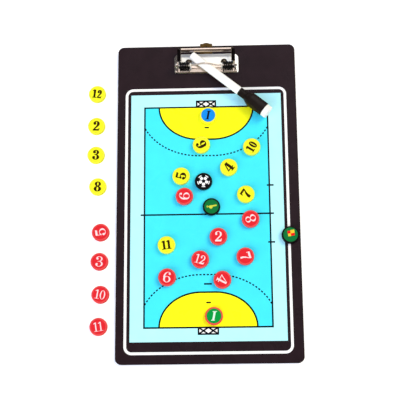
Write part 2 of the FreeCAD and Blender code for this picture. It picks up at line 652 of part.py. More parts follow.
def pen_nib():
    rod_end = PEN_NIB_END - PEN_NIB_RADIUS
    nib = round_bar(PEN_NIB_START, rod_end, PEN_NIB_RADIUS)
    tip = Part.makeSphere(PEN_NIB_RADIUS)
    tip.translate(V(rod_end, 0, 0))
    return joined([nib, tip])


def pen_cap():
    bore = PEN_NECK_RADIUS + RUNNING_GAP
    collar_end = CAP_START + CAP_COLLAR_LENGTH
    inner = CAP_RADIUS - CAP_WALL
    floor = CAP_SOCKET - CAP_WALL
    collar = [(CAP_START, bore), (CAP_START, PEN_RADIUS), (collar_end, PEN_RADIUS)]
    body = [(CAP_SHOULDER, CAP_RADIUS), (CAP_END, CAP_RADIUS)]
    socket = [(CAP_END, ERASER_STUB_RADIUS), (CAP_SOCKET, ERASER_STUB_RADIUS), (CAP_SOCKET, 0)]
    hollow = [(floor, 0), (floor, inner), (CAP_SHOULDER + CAP_WALL, inner), (collar_end + CAP_WALL, bore)]
    cap = turned(collar + body + socket + hollow)
    cap = rounded_rims(cap, CAP_END, CAP_ROUND)
    corner = V(CAP_START + CAP_WALL, -CAP_RIB_WIDTH / 2, PEN_RADIUS - CAP_RIB_DEPTH)
    groove = Part.makeBox(CAP_COLLAR_LENGTH, CAP_RIB_WIDTH, PEN_RADIUS, corner)
    grooves = []
    for k in range(CAP_RIBS):
        turned_groove = groove.copy()
        turned_groove.rotate(ORIGIN, ALONG_X, k * 360.0 / CAP_RIBS)
        grooves.append(turned_groove)
    return cap.cut(grooves)


def pen_eraser():
    stub = ERASER_STUB_RADIUS - PRESS_GAP
    end = CAP_END + ERASER_SHOWS
    seat = [(CAP_SOCKET, 0), (CAP_SOCKET, stub), (CAP_END, stub)]
    felt = turned(seat + [(CAP_END, ERASER_RADIUS), (end, ERASER_RADIUS), (end, 0)])
    return rounded_rims(felt, end, ERASER_ROUND)


# Counters
def counter_cap(x, y, z):
    cap = post(0, 0, COUNTER_RADIUS, 0, COUNTER_HEIGHT)
    cap = cap.makeFillet(COUNTER_ROUND, edges_at(cap, COUNTER_HEIGHT))
    cap = cap.cut(post(0, 0, LABEL_RADIUS, COUNTER_HEIGHT - LABEL_DEPTH, COUNTER_HEIGHT + LABEL_DEPTH))
    cap = cap.cut(post(0, 0, MAGNET_RADIUS + RUNNING_GAP, -SLIDE_GAP, MAGNET_TOP))
    cap.translate(V(x, y, z))
    return cap


def counter_magnet(x, y, z):
    return post(x, y, MAGNET_RADIUS, z + MAGNET_RECESS, z + MAGNET_TOP)


def all_nodes():
    nodes = {
        "core_panel": core_panel(),
        "steel_sheet": steel_sheet(),
        "court_film": court_film(),
        "clip_base": clip_base(),
        "clip_lever": clip_lever(),
        "hinge_wire": hinge_wire(),
        "clip_springs": Part.makeCompound(both_sides(spring())),
        "clip_rivets": clip_rivets(),
        "hang_tab": hang_tab(),
        "pen_barrel": on_pen(pen_barrel()),
        "pen_end_plug": on_pen(pen_end_plug()),
        "pen_ink_core": on_pen(pen_ink_core()),
        "pen_nib": on_pen(pen_nib()),
        "pen_cap": on_pen(pen_cap()),
        "pen_eraser": on_pen(pen_eraser()),
    }
    for name, (x, y) in BOARD_COUNTERS.items():
        nodes[name + "_cap"] = counter_cap(x, y, FACE_Z + SLIDE_GAP)
        nodes[name + "_magnet"] = counter_magnet(x, y, FACE_Z + SLIDE_GAP)
    for name, (out, y) in SPARE_COUNTERS.items():
        x = -BOARD_WIDTH / 2 - out
        nodes[name + "_spare"] = Part.makeCompound([counter_cap(x, y, 0), counter_magnet(x, y, 0)])
    return nodes


os.makedirs("parts", exist_ok=True)
for node, shape in all_nodes().items():
    sound = all(s.isValid() for s in shape.Solids)
    print(node, len(shape.Solids), "solid", round(shape.Volume, 1), "mm3", "sound" if sound else "NOT SOUND")
    shape.exportStep(os.path.join("parts", node + ".step"))
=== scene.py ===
"""Looks of the handball tactics board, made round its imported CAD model. Sizes are in millimetres."""

import json
import math
from functools import cache

import bpy
from mathutils import Matrix, Vector


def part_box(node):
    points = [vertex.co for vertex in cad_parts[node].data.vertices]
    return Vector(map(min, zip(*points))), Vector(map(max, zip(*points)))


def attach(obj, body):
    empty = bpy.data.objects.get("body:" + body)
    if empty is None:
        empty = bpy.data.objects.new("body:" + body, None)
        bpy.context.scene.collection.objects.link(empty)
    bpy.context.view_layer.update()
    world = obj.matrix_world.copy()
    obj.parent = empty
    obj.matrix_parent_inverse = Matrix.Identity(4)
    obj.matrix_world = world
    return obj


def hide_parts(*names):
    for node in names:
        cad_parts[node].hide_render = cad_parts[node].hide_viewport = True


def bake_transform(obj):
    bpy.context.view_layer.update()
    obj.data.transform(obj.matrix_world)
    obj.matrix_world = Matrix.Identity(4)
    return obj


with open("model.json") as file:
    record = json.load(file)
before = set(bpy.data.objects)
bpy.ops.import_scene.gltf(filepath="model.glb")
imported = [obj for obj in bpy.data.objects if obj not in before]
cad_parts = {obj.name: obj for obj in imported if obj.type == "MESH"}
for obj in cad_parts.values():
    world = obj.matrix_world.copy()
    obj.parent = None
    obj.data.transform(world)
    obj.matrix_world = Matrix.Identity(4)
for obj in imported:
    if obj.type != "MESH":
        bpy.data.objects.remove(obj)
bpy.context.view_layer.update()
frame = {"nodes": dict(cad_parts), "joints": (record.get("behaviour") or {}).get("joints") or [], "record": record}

MM = 0.001
scene = bpy.context.scene
nodes = frame["nodes"]
joints = {joint["name"]: joint for joint in frame["joints"]}
slot_of_node = {row["node"]: row["material_slot"] for row in frame["record"]["subparts"]}

# Camera, as it stood over the board
CAMERA_AIM = (-8.5, -1.0, 0.0)
CAMERA_DISTANCE = 1095.5
CAMERA_AZIMUTH_DEG = 7.2
CAMERA_ELEVATION_DEG = 76.6
CAMERA_ROLL_DEG = -7.92
CAMERA_FOCAL_PIXELS = 950.0
PHOTO_PIXELS = 400.0
PIXEL_CENTRE = 0.5
SENSOR_WIDTH = 36.0

# Ink: the thickness of a layer, and small steps that keep shapes in one layer apart
FACE_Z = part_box("court_film")[1].z / MM
INK_LAYER = 0.012
INK_STEP = 0.0015
INK_STEPS = 6

# Printed court
BORDER_LEFT, BORDER_RIGHT = -95.6, 93.5
BORDER_BOTTOM, BORDER_TOP = -176.95, 134.5
BORDER_WIDTH = 3.0
BORDER_CORNER = 9.1
SURROUND_LEFT, SURROUND_RIGHT = -88.9, 87.0
SURROUND_BOTTOM, SURROUND_TOP = -162.95, 126.7
COURT_LEFT, COURT_RIGHT = -72.8, 71.0
COURT_BOTTOM, COURT_TOP = -147.2, 110.8
COURT_MIDDLE_X = (COURT_LEFT + COURT_RIGHT) / 2
COURT_MIDDLE_Y = (COURT_BOTTOM + COURT_TOP) / 2
LINE_WIDTH = 1.85
MIDLINE_OVERRUN = 4.4
TICK_OFFSET = 33.3
TICK_LENGTH = 7.8
TICK_X = COURT_RIGHT + 1.0
PENALTY_DISTANCE = 48.7
PENALTY_LENGTH = 8.6
GOAL_HALF = 11.0
GOAL_DEPTH = 7.4
GOAL_CROSSES = 2

# Lines round a goal: how far they reach from its posts, across the court and into it
POST_HALF = 8.0
AREA_REACH = (47.0, 39.4)
DASH_REACH = (70.2, 59.3)
DASH_LENGTH = 2.4
DASH_PERIOD = 4.1
DASH_WIDTH = 1.6
GOAL_CURVE_STEPS = 180

# Short marks in front of the goalkeepers, printed a little off the middle
KEEPER_MARK_DISTANCE = 26.5
KEEPER_MARK_LENGTH = 5.2
KEEPER_MARK_SHIFT = (0.6, 1.2)

# Each goal's line, and which way the court lies from it
GOAL_ENDS = [(COURT_TOP, -1), (COURT_BOTTOM, 1)]

# Counters
LABEL_DEPTH = 0.3
LABEL_THICKNESS = 0.12
LABEL_RADIUS = 8.1
INSERT_RADIUS = 8.2
KEEPER_LABEL_RADIUS = 8.25
INK_RISE = 0.03
SINGLE_HEIGHT = 11.9
SINGLE_STRETCH = 1.2
DOUBLE_HEIGHT = 10.2
DOUBLE_STRETCH = 0.98
KEEPER_HEIGHT = 10.4
KEEPER_SLANT = 0.2
KEEPER_FOOT = (-0.22, 0.17)
KEEPER_HEAD = (-0.22, 0.22)
DIGIT_GAP = 0.05

# Strokes of the numerals, as shares of their height: stem, hairline and ball
DARK_PEN = (0.224, 0.08, 0.12)
DARK_DOUBLE_PEN = (0.25, 0.092, 0.125)
WHITE_PEN = (0.135, 0.042, 0.09)

# Torsion springs
HINGE = [c / MM for c in joints["lever_hinge"]["pos_m"]]
SPRING_WIRE_RADIUS = 0.75
SPRING_RADIUS = 3.65
SPRING_PITCH = 2.05
SPRING_OUTER_X = 31.0
SPRING_TURNS = 5
SPRING_REAR_REACH, SPRING_REAR_DROP = 9.6, 6.65
SPRING_FRONT_REACH, SPRING_FRONT_DROP = 5.6, 5.24
SPRING_SIDES = 14
SPRING_STEPS_PER_TURN = 32

# Felt eraser on the pen's cap
PEN_AXIS = Vector(joints["pen_slide"]["axis"])
ERASER_RADIUS = 7.6
ERASER_LENGTH = 6.5
ERASER_STUB_RADIUS = 6.7
ERASER_STUB_LENGTH = 3.6
ERASER_ROUND = 0.9
ERASER_CROWN = 0.25
ERASER_SEAT_STEP = 0.15
ERASER_SEAT_ROUND = 0.25
ERASER_SHOULDER = 0.3
ERASER_WAIST = 0.12
ERASER_LUMPS = 0.006
ERASER_SIDES = 72
ERASER_STEPS = 10

# Where the base plate's satin flat ends: at its sloping sides and behind its front strip
BASE_SLOPE_START = (34.2, 34.6)
BASE_FRONT_END = (156.0, 157.0)
BASE_SATIN = 0.38

# Where the ferrite shows under a spare counter: above the rim, on faces that look down
SUNK_HEIGHT = 0.15
LOOKS_DOWN = -0.5
SPARE_SHADE = 0.95

# Most of a noise texture lies between these values
TEXTURE_LOW, TEXTURE_HIGH = 0.3, 0.7

# Directions in which a texture is drawn out into lines
LINES_ALONG_X = (0.03, 1.0, 1.0)
LINES_ALONG_Y = (1.0, 0.05, 1.0)


# Colours, written as 0 to 255 and turned into light
def light(red, green, blue):
    def one(value):
        share = value / 255
        return share / 12.92 if share <= 0.04045 else ((share + 0.055) / 1.055) ** 2.4
    return (one(red), one(green), one(blue), 1.0)


COLOURS = {
    "film": light(34, 22, 27),
    "core": light(20, 14, 16),
    "white": light(238, 238, 238),
    "surround": light(175, 237, 244),
    "court": light(66, 220, 243),
    "area": light(250, 249, 22),
    "line": light(6, 8, 18),
    "yellow": light(232, 229, 38),
    "red": light(212, 37, 45),
    # Caps' red, lighter than the labels' red: partly the plastic's own tone, partly a painted highlight on the
    # rounded rim
    "red_rim_tone_and_highlight": light(222, 66, 63),
    "black": light(13, 9, 10),
    "green": light(14, 107, 52),
    "keeper_blue": light(22, 132, 220),
    "keeper_green": light(6, 142, 58),
    "numeral_dark": light(46, 29, 0),
    "numeral_white": light(232, 207, 210),
    "keeper_white": light(206, 228, 212),
    "whistle": light(198, 198, 62),
    "card_yellow": light(218, 192, 48),
    "card_red": light(222, 20, 20),
}


# Materials
class Finish:
    """A node material in the making: a principled shader and the textures that vary it."""

    def __init__(self, name):
        self.material = bpy.data.materials.new(name)
        self.material.use_nodes = True
        self.tree = self.material.node_tree
        self.shader = self.tree.nodes["Principled BSDF"]
        self.place = self.tree.nodes.new("ShaderNodeTexCoord").outputs["Object"]

    def node(self, kind, **values):
        made = self.tree.nodes.new(kind)
        for key, value in values.items():
            setattr(made, key, value)
        return made

    def join(self, output, socket):
        self.tree.links.new(output, socket)

    def set(self, **values):
        for key, value in values.items():
            self.shader.inputs[key.replace("_", " ")].default_value = value
        return self

    def stretched(self, stretch):
        mapping = self.node("ShaderNodeMapping")
        mapping.inputs["Scale"].default_value = stretch
        self.join(self.place, mapping.inputs["Vector"])
        return mapping.outputs["Vector"]

    def noise(self, size, detail=3.0, stretch=None, distortion=0.0):
        """Noise whose grains are about the given size in millimetres."""
        made = self.node("ShaderNodeTexNoise")
        made.inputs["Scale"].default_value = 1 / (size * MM)
        made.inputs["Detail"].default_value = detail
        made.inputs["Distortion"].default_value = distortion
        self.join(self.place if stretch is None else self.stretched(stretch), made.inputs["Vector"])
        return made.outputs["Fac"]

    def cells(self, size, feature="F1"):
        made = self.node("ShaderNodeTexVoronoi", feature=feature)
        made.inputs["Scale"].default_value = 1 / (size * MM)
        self.join(self.place, made.inputs["Vector"])
        return made.outputs["Distance"]

    def ramp(self, value, low, high, start=TEXTURE_LOW, end=TEXTURE_HIGH):
        """Two colours mixed by a texture."""
        made = self.node("ShaderNodeValToRGB")
        first, last = made.color_ramp.elements
        first.position, last.position = start, end
        first.color, last.color = low, high
        self.join(value, made.inputs["Fac"])
        return made.outputs["Color"]

    def levels(self, value, low, high, start=TEXTURE_LOW, end=TEXTURE_HIGH):
        """A number that goes from low to high while the given value goes from start to end."""
        made = self.node("ShaderNodeMapRange")
        limits = {"From Min": start, "From Max": end, "To Min": low, "To Max": high}
        for key, limit in limits.items():
            made.inputs[key].default_value = limit
        self.join(value, made.inputs["Value"])
        return made.outputs["Result"]

    def part(self, vector, axis):
        parts = self.node("ShaderNodeSeparateXYZ")
        self.join(vector, parts.inputs["Vector"])
        return parts.outputs[axis]

    def maths(self, operation, first, second=None, limit=None):
        """A sum on one value and a second one or a plain limit."""
        made = self.node("ShaderNodeMath", operation=operation)
        self.join(first, made.inputs[0])
        if second is not None:
            self.join(second, made.inputs[1])
        if limit is not None:
            made.inputs[1].default_value = limit
        return made.outputs["Value"]

    def along(self, axis, start, end, low, high):
        """A number that changes between two distances from the middle, in millimetres along an axis."""
        distance = self.maths("ABSOLUTE", self.part(self.place, axis))
        return self.levels(distance, low, high, start * MM, end * MM)

    def colour(self, value, tint, spread):
        """A base colour that wanders about its tint by a share."""
        low = [c * (1 - spread) for c in tint[:3]] + [1.0]
        high = [min(1.0, c * (1 + spread)) for c in tint[:3]] + [1.0]
        self.join(self.ramp(value, low, high), self.shader.inputs["Base Color"])

    def rough(self, value, low, high):
        self.join(self.levels(value, low, high), self.shader.inputs["Roughness"])

    def bump(self, value, depth, strength=1.0, after=None):
        """Raises the surface by the given depth in millimetres."""
        made = self.node("ShaderNodeBump")
        made.inputs["Strength"].default_value = strength
        made.inputs["Distance"].default_value = depth * MM
        self.join(value, made.inputs["Height"])
        if after is not None:
            self.join(after, made.inputs["Normal"])
        self.join(made.outputs["Normal"], self.shader.inputs["Normal"])
        return made.outputs["Normal"]

    def softened(self, radius):
        """Rounds sharp edges in the shading, by the given radius in millimetres."""
        made = self.node("ShaderNodeBevel", samples=4)
        made.inputs["Radius"].default_value = radius * MM
        return made.outputs["Normal"]


def moulded_plastic(name, tint, low=0.28, high=0.42, grain=0.25, edge=0.25, gloss=0.4):
    """Injection-moulded plastic with a faint grain, handling marks and soft edges."""
    made = Finish(name)
    made.colour(made.noise(6.0, detail=4.0), tint, spread=0.05)
    made.rough(made.noise(2.5, detail=5.0, distortion=0.6), low, high)
    made.bump(made.noise(grain, detail=2.0), depth=0.006, strength=0.5, after=made.softened(edge))
    return made.set(Specular_IOR_Level=gloss).material


def board_plastic(name):
    """Black sheet plastic with a fine pebbled skin."""
    made = Finish(name)
    made.colour(made.noise(9.0, detail=5.0), COLOURS["core"], spread=0.22)
    made.rough(made.noise(4.0, detail=5.0), low=0.34, high=0.52)
    made.bump(made.cells(0.5, "SMOOTH_F1"), depth=0.03, strength=0.6, after=made.softened(0.4))
    return made.material


def printed_film(name, tint, spread=0.03):
    """Gloss print under clear film, with rubbed patches and hairline scratches from the counters."""
    made = Finish(name)
    made.colour(made.noise(14.0, detail=4.0), tint, spread)
    made.rough(made.noise(22.0, detail=6.0, distortion=0.8), low=0.24, high=0.36)
    scratches = made.noise(0.5, stretch=(0.04, 1.0, 1.0), distortion=0.2)
    made.bump(scratches, depth=0.0025, strength=0.35)
    return made.set(Specular_IOR_Level=0.08, Coat_Weight=0.02, Coat_Roughness=0.12).material


def plated(name, tint, low=0.1, high=0.24, stretch=LINES_ALONG_X, edge=0.25, spread=0.05, depth=0.0022):
    """Plated sheet metal in the making: drawn lines along its length, rubbed and dulled patches."""
    made = Finish(name)
    made.colour(made.noise(5.0, detail=5.0, distortion=0.5), tint, spread)
    made.rough(made.noise(3.0, detail=6.0, distortion=0.7), low, high)
    made.bump(made.noise(0.18, stretch=stretch), depth, strength=0.5, after=made.softened(edge))
    return made


def bright_metal(name, tint, metal=1.0, **details):
    return plated(name, tint, **details).set(Metallic=metal).material


def base_metal(name):
    """Satin plating on the base plate's flat, rubbed to a full shine on its front and sloping sides."""
    made = plated(name, light(254, 249, 240), low=0.12, high=0.2, depth=0.0004)
    sides = made.along("X", *BASE_SLOPE_START, BASE_SATIN, 1.0)
    front = made.along("Y", *BASE_FRONT_END, 1.0, BASE_SATIN)
    made.join(made.maths("MAXIMUM", sides, front), made.shader.inputs["Metallic"])
    return made.material


def blackened_wire(name):
    """Oil-blackened spring wire with drawn streaks and bare spots."""
    made = Finish(name)
    spots = made.noise(1.1, detail=6.0, distortion=0.9)
    shades = made.ramp(spots, light(18, 16, 16), light(74, 68, 64), start=0.56, end=0.85)
    made.join(shades, made.shader.inputs["Base Color"])
    made.rough(made.noise(0.8, detail=4.0), low=0.4, high=0.58)
    made.bump(made.noise(0.2), depth=0.004, strength=0.6)
    return made.set(Metallic=0.55).material


def pen_plastic(name):
    """White gloss plastic with faint handling marks."""
    made = Finish(name)
    made.colour(made.noise(10.0, detail=4.0), COLOURS["white"], spread=0.025)
    made.rough(made.noise(3.0, detail=5.0, distortion=0.5), low=0.16, high=0.3)
    marks = made.noise(0.6, stretch=(1.0, 1.0, 0.2))
    made.bump(marks, depth=0.003, strength=0.3, after=made.softened(0.2))
    return made.set(Coat_Weight=0.2, Coat_Roughness=0.08).material


def felt(name):
    """Pressed white felt: tangled fibres, a little grey where it has wiped."""
    made = Finish(name)
    tangle = made.noise(0.35, detail=6.0, distortion=1.6)
    shades = made.ramp(tangle, light(206, 203, 196), light(248, 246, 240), start=0.25, end=0.65)
    made.join(shades, made.shader.inputs["Base Color"])
    made.rough(made.noise(1.2, detail=4.0), low=0.86, high=0.98)
    threads = made.noise(0.12, detail=4.0, stretch=(1.0, 0.3, 0.3), distortion=2.0)
    made.bump(tangle, depth=0.16, strength=0.7, after=made.bump(threads, depth=0.08, strength=0.8))
    return made.set(Sheen_Weight=0.35, Sheen_Roughness=0.5, Specular_IOR_Level=0.2).material


def fibre(name):
    """Ink-soaked bundled fibre."""
    made = Finish(name)
    made.colour(made.noise(0.4, detail=4.0, stretch=(0.15, 1.0, 1.0)), light(40, 40, 44), spread=0.3)
    made.rough(made.noise(0.6), low=0.7, high=0.95)
    made.bump(made.noise(0.15, stretch=(0.1, 1.0, 1.0)), depth=0.02, strength=0.7)
    return made.material


def ferrite(name):
    """Sintered ferrite: dark grey grains with a dull sparkle."""
    made = Finish(name)
    made.colour(made.noise(0.5, detail=6.0), light(62, 60, 61), spread=0.25)
    made.rough(made.noise(0.4, detail=4.0), low=0.55, high=0.8)
    made.bump(made.cells(0.25), depth=0.02, strength=0.6)
    return made.set(Metallic=0.15).material


def label_print(name, tint):
    """Printed vinyl label, faintly grained."""
    made = Finish(name)
    made.colour(made.noise(3.0, detail=4.0), tint, spread=0.035)
    made.rough(made.noise(1.6, detail=4.0, distortion=0.4), low=0.3, high=0.44)
    made.bump(made.noise(0.3, detail=2.0), depth=0.003, strength=0.4)
    return made.set(Specular_IOR_Level=0.06).material


def spare_counter(name, tint):
    """A spare counter's plastic, with the ferrite showing on its sunk underside."""
    made = Finish(name)
    shade = [c * SPARE_SHADE for c in tint[:3]] + [1.0]
    plastic = made.ramp(made.noise(6.0, detail=4.0), shade, tint)
    grains = made.ramp(made.noise(0.5, detail=6.0), light(48, 46, 47), light(76, 74, 75))
    facing = made.tree.nodes["Texture Coordinate"].outputs["Normal"]
    sunk = made.maths("GREATER_THAN", made.part(made.place, "Z"), limit=SUNK_HEIGHT * MM)
    under = made.maths("LESS_THAN", made.part(facing, "Z"), limit=LOOKS_DOWN)
    mixed = made.node("ShaderNodeMix", data_type="RGBA")
    made.join(made.maths("MULTIPLY", sunk, under), mixed.inputs["Factor"])
    made.join(plastic, mixed.inputs["A"])
    made.join(grains, mixed.inputs["B"])
    made.join(mixed.outputs["Result"], made.shader.inputs["Base Color"])
    made.rough(made.noise(2.5, detail=5.0, distortion=0.6), low=0.28, high=0.42)
    made.bump(made.noise(0.25, detail=2.0), depth=0.006, strength=0.5, after=made.softened(0.25))
    return made.material


BRONZE_LOOK = {"low": 0.26, "high": 0.42, "stretch": LINES_ALONG_Y, "edge": 0.2, "spread": 0.2}
PEN_CAP_LOOK = {"low": 0.36, "high": 0.5, "grain": 0.18, "edge": 0.15, "gloss": 0.16}
WIRE_LOOK = {"low": 0.18, "high": 0.3, "metal": 0.55, "depth": 0.001}
SLOT_MATERIALS = {
    "board_black": board_plastic("board_black"),
    "plain_steel": bright_metal("plain_steel", light(150, 150, 152), low=0.3, high=0.45),
    "printed_film": printed_film("printed_film", COLOURS["film"], spread=0.12),
    "bright_nickel": bright_metal("bright_nickel", light(228, 210, 196)),
    "spring_steel": blackened_wire("spring_steel"),
    "bronzed_steel": bright_metal("bronzed_steel", light(84, 64, 34), **BRONZE_LOOK),
    "pen_white": pen_plastic("pen_white"),
    "fibre": fibre("fibre"),
    "pen_black": moulded_plastic("pen_black", light(29, 22, 19), **PEN_CAP_LOOK),
    "felt_white": felt("felt_white"),
    "counter_yellow": moulded_plastic("counter_yellow", COLOURS["yellow"]),
    # Red caps carry a painted highlight: their red is lighter than the labels' red
    "counter_red": moulded_plastic("counter_red", COLOURS["red_rim_tone_and_highlight"]),
    "counter_black": moulded_plastic("counter_black", COLOURS["black"], gloss=0.1),
    "ferrite": ferrite("ferrite"),
}
SPARE_MATERIALS = {
    "counter_yellow": spare_counter("spare_yellow", COLOURS["yellow"]),
    "counter_red": spare_counter("spare_red", COLOURS["red_rim_tone_and_highlight"]),
}

# Pieces of the clip whose plating differs from the rest of their slot
OWN_MATERIALS = {
    "clip_base": base_metal("satin_nickel"),
    "clip_rivets": bright_metal("dull_nickel", light(112, 100, 86), low=0.2, high=0.36),
    "hinge_wire": bright_metal("wire_nickel", light(238, 222, 208), **WIRE_LOOK),
}


def dress_cad_nodes():
    for name, node in nodes.items():
        slot = slot_of_node[name]
        made = SPARE_MATERIALS[slot] if name.endswith("_spare") else SLOT_MATERIALS[slot]
        made = OWN_MATERIALS.get(name, made)
        for place in node.material_slots:
            place.material = made


# Flat shapes: lists of points with the cells that they bound, counter-clockwise
def turned_right(points, cells):
    """Gives every cell the same turn, so that slabs face outwards."""
    fixed = []
    for cell in cells:
        outline = [points[i] for i in cell]
        area = sum(a[0] * b[1] - b[0] * a[1] for a, b in zip(outline, outline[1:] + outline[:1]))
        fixed.append(cell if area > 0 else cell[::-1])
    return points, fixed


def patch(points):
    return turned_right(list(points), [list(range(len(points)))])


def box(x0, x1, y0, y1):
    return patch([(x0, y0), (x1, y0), (x1, y1), (x0, y1)])


def ribbon(first, second, closed=False):
    """The strip between two rails that have the same number of points."""
    count = len(first)
    last = count if closed else count - 1
    cells = []
    for i in range(last):
        j = (i + 1) % count
        cells.append([i, j, count + j, count + i])
    return turned_right(list(first) + list(second), cells)


def oval(cx, cy, rx, ry, start, end, steps_per_turn=56):
    """Points on an oval between two angles in degrees; a full turn doesn't repeat its first point."""
    turn = abs(end - start)
    count = max(2, round(steps_per_turn * turn / 360))
    stops = count if turn >= 360 else count + 1
    angles = [math.radians(start + (end - start) * k / count) for k in range(stops)]
    return [(cx + rx * math.cos(a), cy + ry * math.sin(a)) for a in angles]


def disc(cx, cy, radius):
    return patch(oval(cx, cy, radius, radius, 0, 360))


def ring(cx, cy, outer, inner):
    return ribbon(oval(cx, cy, outer, outer, 0, 360), oval(cx, cy, inner, inner, 0, 360), closed=True)


def stroke(points, width):
    """A line of even width along the points."""
    left, right = [], []
    for i, (x, y) in enumerate(points):
        before = points[max(0, i - 1)]
        after = points[min(len(points) - 1, i + 1)]
        dx, dy = after[0] - before[0], after[1] - before[1]
        scale = width / 2 / math.hypot(dx, dy)
        left.append((x - dy * scale, y + dx * scale))
        right.append((x + dy * scale, y - dx * scale))
    return ribbon(left, right)


def rounded_loop(x0, x1, y0, y1, radius):
    corners = [(x1 - radius, y1 - radius, 0), (x0 + radius, y1 - radius, 90)]
    corners += [(x0 + radius, y0 + radius, 180), (x1 - radius, y0 + radius, 270)]
    loop = []
    for cx, cy, start in corners:
        loop += oval(cx, cy, radius, radius, start, start + 90)
    return loop


def moved(shapes, place):
    return [(list(map(place, points)), cells) for points, cells in shapes]


# Pieces
def solid(name, corners, faces):
    mesh = bpy.data.meshes.new(name)
    mesh.from_pydata(corners, [], faces)
    mesh.validate()
    return mesh


def link(name, mesh, material):
    mesh.materials.append(material)
    piece = bpy.data.objects.new(name, mesh)
    scene.collection.objects.link(piece)
    return piece


def slab(name, shapes, base, top, material, body):
    """Thin closed slabs of the given flat shapes, between two heights, riding on a body."""
    corners, faces = [], []
    for order, (points, cells) in enumerate(shapes):
        low = len(corners)
        high = low + len(points)
        lid = top + INK_STEP * (order % INK_STEPS)
        corners += [(x * MM, y * MM, base * MM) for x, y in points]
        corners += [(x * MM, y * MM, lid * MM) for x, y in points]
        edges = {}
        for cell in cells:
            faces.append([high + i for i in cell])
            faces.append([low + i for i in reversed(cell)])
            edges.update(dict.fromkeys(zip(cell, cell[1:] + cell[:1])))
        for i, j in edges:
            if (j, i) not in edges:
                faces.append([low + i, low + j, high + j, high + i])
    piece = link(name, solid(name, corners, faces), material)
    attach(piece, body)


def sleeve(name, rings, material, smooth_ends):
    """A closed skin over rings of corners, which all have the same count."""
    sides = len(rings[0])
    last = (len(rings) - 1) * sides
    faces = []
    for start in range(0, last, sides):
        for i in range(sides):
            j = (i + 1) % sides
            faces.append([start + i, start + j, start + sides + j, start + sides + i])
    faces.append(list(range(sides))[::-1])
    faces.append([last + i for i in range(sides)])
    mesh = solid(name, [corner for corners in rings for corner in corners], faces)
    smooth = [smooth_ends or len(face.vertices) < sides for face in mesh.polygons]
    mesh.polygons.foreach_set("use_smooth", smooth)
    return link(name, mesh, material)


def ring_angles(sides):
    return [2 * math.pi * i / sides for i in range(sides)]


# Printed court
@cache
def court_ink(tint):
    return printed_film("ink_" + tint, COLOURS[tint])


def goal_curve(goal_y, inward, reach, limit=None):
    """A line that keeps its distance from a goal: two quarter ovals about the posts, joined straight."""
    start = 0.0
    if limit is not None:
        start = math.degrees(math.acos((limit - POST_HALF) / reach[0]))
    right = oval(POST_HALF, 0, reach[0], reach[1], start, 90, GOAL_CURVE_STEPS)
    left = oval(-POST_HALF, 0, reach[0], reach[1], 90, 180 - start, GOAL_CURVE_STEPS)
    return [(COURT_MIDDLE_X + x, goal_y + inward * y) for x, y in right + left]


def dashes(points):
    """Cuts a line into dashes of even length and spacing."""
    lengths = [0.0]
    for a, b in zip(points, points[1:]):
        lengths.append(lengths[-1] + math.hypot(b[0] - a[0], b[1] - a[1]))

    def at(distance):
        i = max(k for k in range(len(points) - 1) if lengths[k] <= distance)
        share = (distance - lengths[i]) / (lengths[i + 1] - lengths[i])
        return tuple(p + (q - p) * share for p, q in zip(points[i], points[i + 1]))

    count = int(lengths[-1] / DASH_PERIOD)
    lead = (lengths[-1] - count * DASH_PERIOD + DASH_PERIOD - DASH_LENGTH) / 2
    starts = [lead + k * DASH_PERIOD for k in range(count)]
    return [stroke([at(s), at(s + DASH_LENGTH / 2), at(s + DASH_LENGTH)], DASH_WIDTH) for s in starts]


def level_line(y, half, x=COURT_MIDDLE_X):
    return box(x - half, x + half, y - LINE_WIDTH / 2, y + LINE_WIDTH / 2)


def frame_lines(x0, x1, y0, y1):
    """The four sides of an outline, drawn on its edges."""
    h = LINE_WIDTH / 2
    outer = [(x0 - h, y0 - h), (x1 + h, y0 - h), (x1 + h, y1 + h), (x0 - h, y1 + h)]
    inner = [(x0 + h, y0 + h), (x1 - h, y0 + h), (x1 - h, y1 - h), (x0 + h, y1 - h)]
    return ribbon(outer, inner, closed=True)


def court_lines():
    half_width = (COURT_RIGHT - COURT_LEFT) / 2
    shapes = [frame_lines(COURT_LEFT, COURT_RIGHT, COURT_BOTTOM, COURT_TOP)]
    shapes.append(level_line(COURT_MIDDLE_Y, half_width + MIDLINE_OVERRUN))
    for side in (-1, 1):
        shapes.append(level_line(COURT_MIDDLE_Y + side * TICK_OFFSET, TICK_LENGTH / 2, TICK_X))
    for goal_y, inward in GOAL_ENDS:
        shapes.append(stroke(goal_curve(goal_y, inward, AREA_REACH), LINE_WIDTH))
        shapes += dashes(goal_curve(goal_y, inward, DASH_REACH, half_width))
        shapes.append(level_line(goal_y + inward * PENALTY_DISTANCE, PENALTY_LENGTH / 2))
        mark_x = COURT_MIDDLE_X + KEEPER_MARK_SHIFT[0]
        mark_y = goal_y + inward * KEEPER_MARK_DISTANCE + KEEPER_MARK_SHIFT[1]
        shapes.append(level_line(mark_y, KEEPER_MARK_LENGTH / 2, mark_x))
    return shapes


def goal_sides(goal_y, inward):
    """Where a goal's left, right, lower and upper sides lie, outside its line."""
    far = goal_y - inward * GOAL_DEPTH
    return COURT_MIDDLE_X - GOAL_HALF, COURT_MIDDLE_X + GOAL_HALF, min(goal_y, far), max(goal_y, far)


def goal_net(goal_y, inward):
    """A goal's outline and its crossed net."""
    x0, x1, low, high = goal_sides(goal_y, inward)
    shapes = [frame_lines(x0, x1, low, high)]
    step = (x1 - x0) / GOAL_CROSSES
    for k in range(GOAL_CROSSES):
        left = x0 + k * step
        shapes.append(stroke([(left, low), (left + step, high)], LINE_WIDTH))
        shapes.append(stroke([(left, high), (left + step, low)], LINE_WIDTH))
    return shapes


